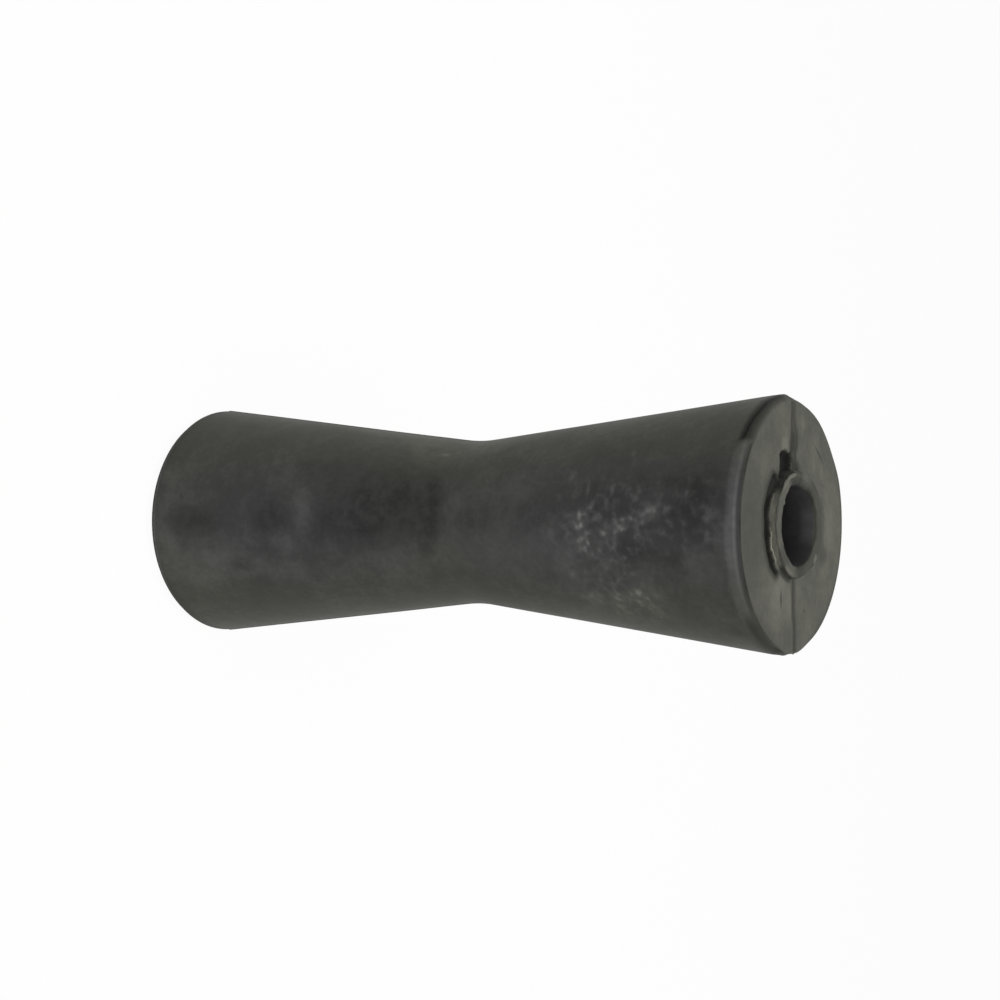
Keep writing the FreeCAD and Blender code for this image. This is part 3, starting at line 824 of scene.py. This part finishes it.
def rubberMaterial(values, marks, endMarksAndPaintedLight):
    made = bpy.data.materials.new("moulded black rubber")
    tree = emptyTree(made)
    place = addNode(tree, "ShaderNodeTexCoord").outputs["Object"]

    def maths(operation, *terms):
        # the node's first, second and third number
        return addNode(tree, "ShaderNodeMath", {"operation": operation}, dict(enumerate(terms))).outputs[0]

    def noise(width, detail, low, high, least=0.0, most=1.0):
        # noise whose patches are about width across, spread from least at low to most at high
        raw = addNode(tree, "ShaderNodeTexNoise", None,
                      {"Vector": place, "Scale": 1 / (width * mm), "Detail": detail, "Roughness": 0.6})
        return addNode(tree, "ShaderNodeMapRange", {"clamp": True},
                       {"Value": raw.outputs["Fac"], "From Min": low, "From Max": high,
                        "To Min": least, "To Max": most}).outputs["Result"]

    def ball(centre, angle, size):
        # 1 at the centre of an ellipsoid turned about +Z, falling evenly to 0 at its surface
        spot = addNode(tree, "ShaderNodeMapping", {"vector_type": "TEXTURE"},
                       {"Vector": place, "Location": [c * mm for c in centre],
                        "Rotation": (0, 0, math.radians(angle)), "Scale": [s / 2 * mm for s in size]})
        return addNode(tree, "ShaderNodeTexGradient", {"gradient_type": "SPHERICAL"},
                       {"Vector": spot.outputs["Vector"]}).outputs["Fac"]

    def coneMarks(group):
        # the sum of a group's marks, each its strength times a ball that lies on the cone, at most 1
        wider, total = values["markSpread"], 0.0
        cone = (rollerForm["waistRadius"], rollerForm["endRadius"])
        for z, turn, along, around, strength in group:
            radius = np.interp(abs(z - middle), (0, middle), cone)
            mark = ball((*roundBore(radius, turn), z), 180 + turn,
                        (values["markDepth"], around * wider, along * wider))
            total = maths("MULTIPLY_ADD", mark, strength * values["markLift"], total)
        return maths("MINIMUM", total, 1.0)

    shade = values["plain"]
    for width, strength in (values["clouds"], values["mottle"], values["grain"]):
        shade = maths("ADD", shade, noise(width, *values["patterns"], -strength, strength))
    gaps = noise(*values["gaps"])
    crumbs = noise(*values["crumbs"])
    worn = maths("MULTIPLY", coneMarks(marks["worn"]), maths("SUBTRACT", values["wornGrain"], gaps))
    shade = maths("MULTIPLY_ADD", worn, -values["wornDepth"], shade)
    shade = maths("MULTIPLY_ADD", coneMarks(marks["soft"]), values["softLift"], shade)
    share = values["crumbShare"]
    scuffs = maths("MULTIPLY", coneMarks(marks["scuffs"]), maths("MULTIPLY_ADD", crumbs, share, 1 - share))
    thin = maths("MULTIPLY", coneMarks(marks["fields"]), maths("MULTIPLY", crumbs, gaps))
    shade = maths("MULTIPLY_ADD", maths("ADD", scuffs, thin), values["scuffLift"], shade)
    # marks of the near face, and the broad painted light and shade across it
    for x, y, length, width, turned, strength in endMarksAndPaintedLight:
        mark = ball((x, y, nearFace), turned, (length, width, values["faceMarkDepth"]))
        shade = maths("MULTIPLY_ADD", mark, strength * values["faceMarkLift"], shade)

    # dark holds dirt, torn rubber and painted shade; pale holds pale flash and painted highlights; olive the
    # bloom's tint and a painted sheen
    flat, olive, dark, pale = (addNode(tree, "ShaderNodeAttribute", {"attribute_name": name}).outputs["Fac"]
                               for name in ("flat", "olive", "dark", "pale"))
    shade = maths("MULTIPLY_ADD", flat, values["bloomLift"], shade)
    shade = maths("MULTIPLY_ADD", pale, maths("SUBTRACT", values["fresh"], shade), shade)
    shade = maths("MULTIPLY", shade, maths("SUBTRACT", 1.0, dark))
    ramp = addNode(tree, "ShaderNodeValToRGB", None, {"Fac": shade})
    while len(ramp.color_ramp.elements) < len(values["tones"]):
        ramp.color_ramp.elements.new(0.5)
    for element, (spot, code) in zip(ramp.color_ramp.elements, values["tones"]):
        element.position, element.color = spot, linearColour(code)
    # the mix node's colour sockets share their names with its plain ones, so they go by number
    tinted = addNode(tree, "ShaderNodeMix", {"data_type": "RGBA", "blend_type": "MULTIPLY"},
                     {"Factor": olive, 6: ramp.outputs["Color"], 7: linearColour(values["bloomTint"])})

    smooth, raw = values["roughness"]
    rough = maths("MULTIPLY_ADD", dark, raw - smooth, smooth)
    skin = addNode(tree, "ShaderNodeTexNoise", None,
                   {"Vector": place, "Scale": 1 / (values["skin"] * mm), "Detail": 3.0})
    bump = addNode(tree, "ShaderNodeBump", None,
                   {"Height": skin.outputs["Fac"], "Distance": values["skinDepth"] * mm, "Strength": 1.0})
    surface = addNode(tree, "ShaderNodeBsdfPrincipled", None, {
        "Base Color": tinted.outputs[2],
        "Roughness": rough,
        "IOR": values["ior"],
        "Specular IOR Level": values["specular"],
        "Normal": bump.outputs["Normal"],
    })
    addNode(tree, "ShaderNodeOutputMaterial", None, {"Surface": surface.outputs["BSDF"]})
    return made


roller = addRoller(rollerForm)
roller.data.materials.append(rubberMaterial(rubberFinish, rubberMarks, faceMarksAndPaintedLight))
print("rubber laid on")

# A light tent: pale floor, plain soft lamps, and a white background for the camera alone.
studio = {
    "floorColour": "#f4f4f2",
    "floorWidth": 6000.0,
    "floorWhite": 0.96,       # how much of the floor that the camera sees is plain white
    "tentColour": "#ffffff",
    "tentStrength": 0.15,
    "lamps": {                # place, width and height in millimetres, and watts
        "overhead": ((0, -200, 950), 500, 500, 6.5),
        "sideUp": ((-800, 150, 300), 500, 700, 0.9),
        "sideDown": ((800, 150, 300), 500, 700, 1.5),
    },
}


def seenWhite(tree):
    # 1 where the camera, gloss or clear glass looks at it, and 0 for plain light
    path = addNode(tree, "ShaderNodeLightPath")
    seen = path.outputs["Is Camera Ray"]
    for name in ("Is Glossy Ray", "Is Transmission Ray"):
        either = addNode(tree, "ShaderNodeMath", {"operation": "MAXIMUM"}, {0: seen, 1: path.outputs[name]})
        seen = either.outputs[0]
    return seen


def addTent(values):
    world = bpy.data.worlds.new("tent")
    bpy.context.scene.world = world
    tree = emptyTree(world)
    lit = addNode(tree, "ShaderNodeBackground", None,
                  {"Color": linearColour(values["tentColour"]), "Strength": values["tentStrength"]})
    white = addNode(tree, "ShaderNodeBackground", None, {"Color": linearColour("#ffffff"), "Strength": 1.0})
    both = addNode(tree, "ShaderNodeMixShader", None,
                   {0: seenWhite(tree), 1: lit.outputs[0], 2: white.outputs[0]})
    addNode(tree, "ShaderNodeOutputWorld", None, {"Surface": both.outputs[0]})


def addLamps(values):
    for name, (place, width, height, watts) in values["lamps"].items():
        data = bpy.data.lights.new(name, "AREA")
        data.shape = "RECTANGLE"
        data.size, data.size_y, data.energy = width * mm, height * mm, watts
        lamp = addObject(name, data)
        lamp.location = [c * mm for c in place]
        aim = Vector((0, 0, middle * mm)) - lamp.location
        lamp.rotation_euler = aim.to_track_quat("-Z", "Y").to_euler()


def addFloor(values):
    half = values["floorWidth"] / 2 * mm
    corners = [(-half, -half, 0), (half, -half, 0), (half, half, 0), (-half, half, 0)]
    mesh = bpy.data.meshes.new("floor")
    mesh.from_pydata(corners, [], [(0, 1, 2, 3)])
    floor = addObject("floor", mesh)
    paint = bpy.data.materials.new("pale floor")
    tree = emptyTree(paint)
    matte = addNode(tree, "ShaderNodeBsdfDiffuse", None, {"Color": linearColour(values["floorColour"])})
    white = addNode(tree, "ShaderNodeEmission", None, {"Color": linearColour("#ffffff"), "Strength": 1.0})
    share = addNode(tree, "ShaderNodeMath", {"operation": "MULTIPLY"},
                    {0: seenWhite(tree), 1: values["floorWhite"]})
    both = addNode(tree, "ShaderNodeMixShader", None,
                   {0: share.outputs[0], 1: matte.outputs[0], 2: white.outputs[0]})
    addNode(tree, "ShaderNodeOutputMaterial", None, {"Surface": both.outputs[0]})
    mesh.materials.append(paint)


addTent(studio)
addLamps(studio)
addFloor(studio)
print("studio lit")

bpy.context.scene.view_settings.view_transform = "Standard"
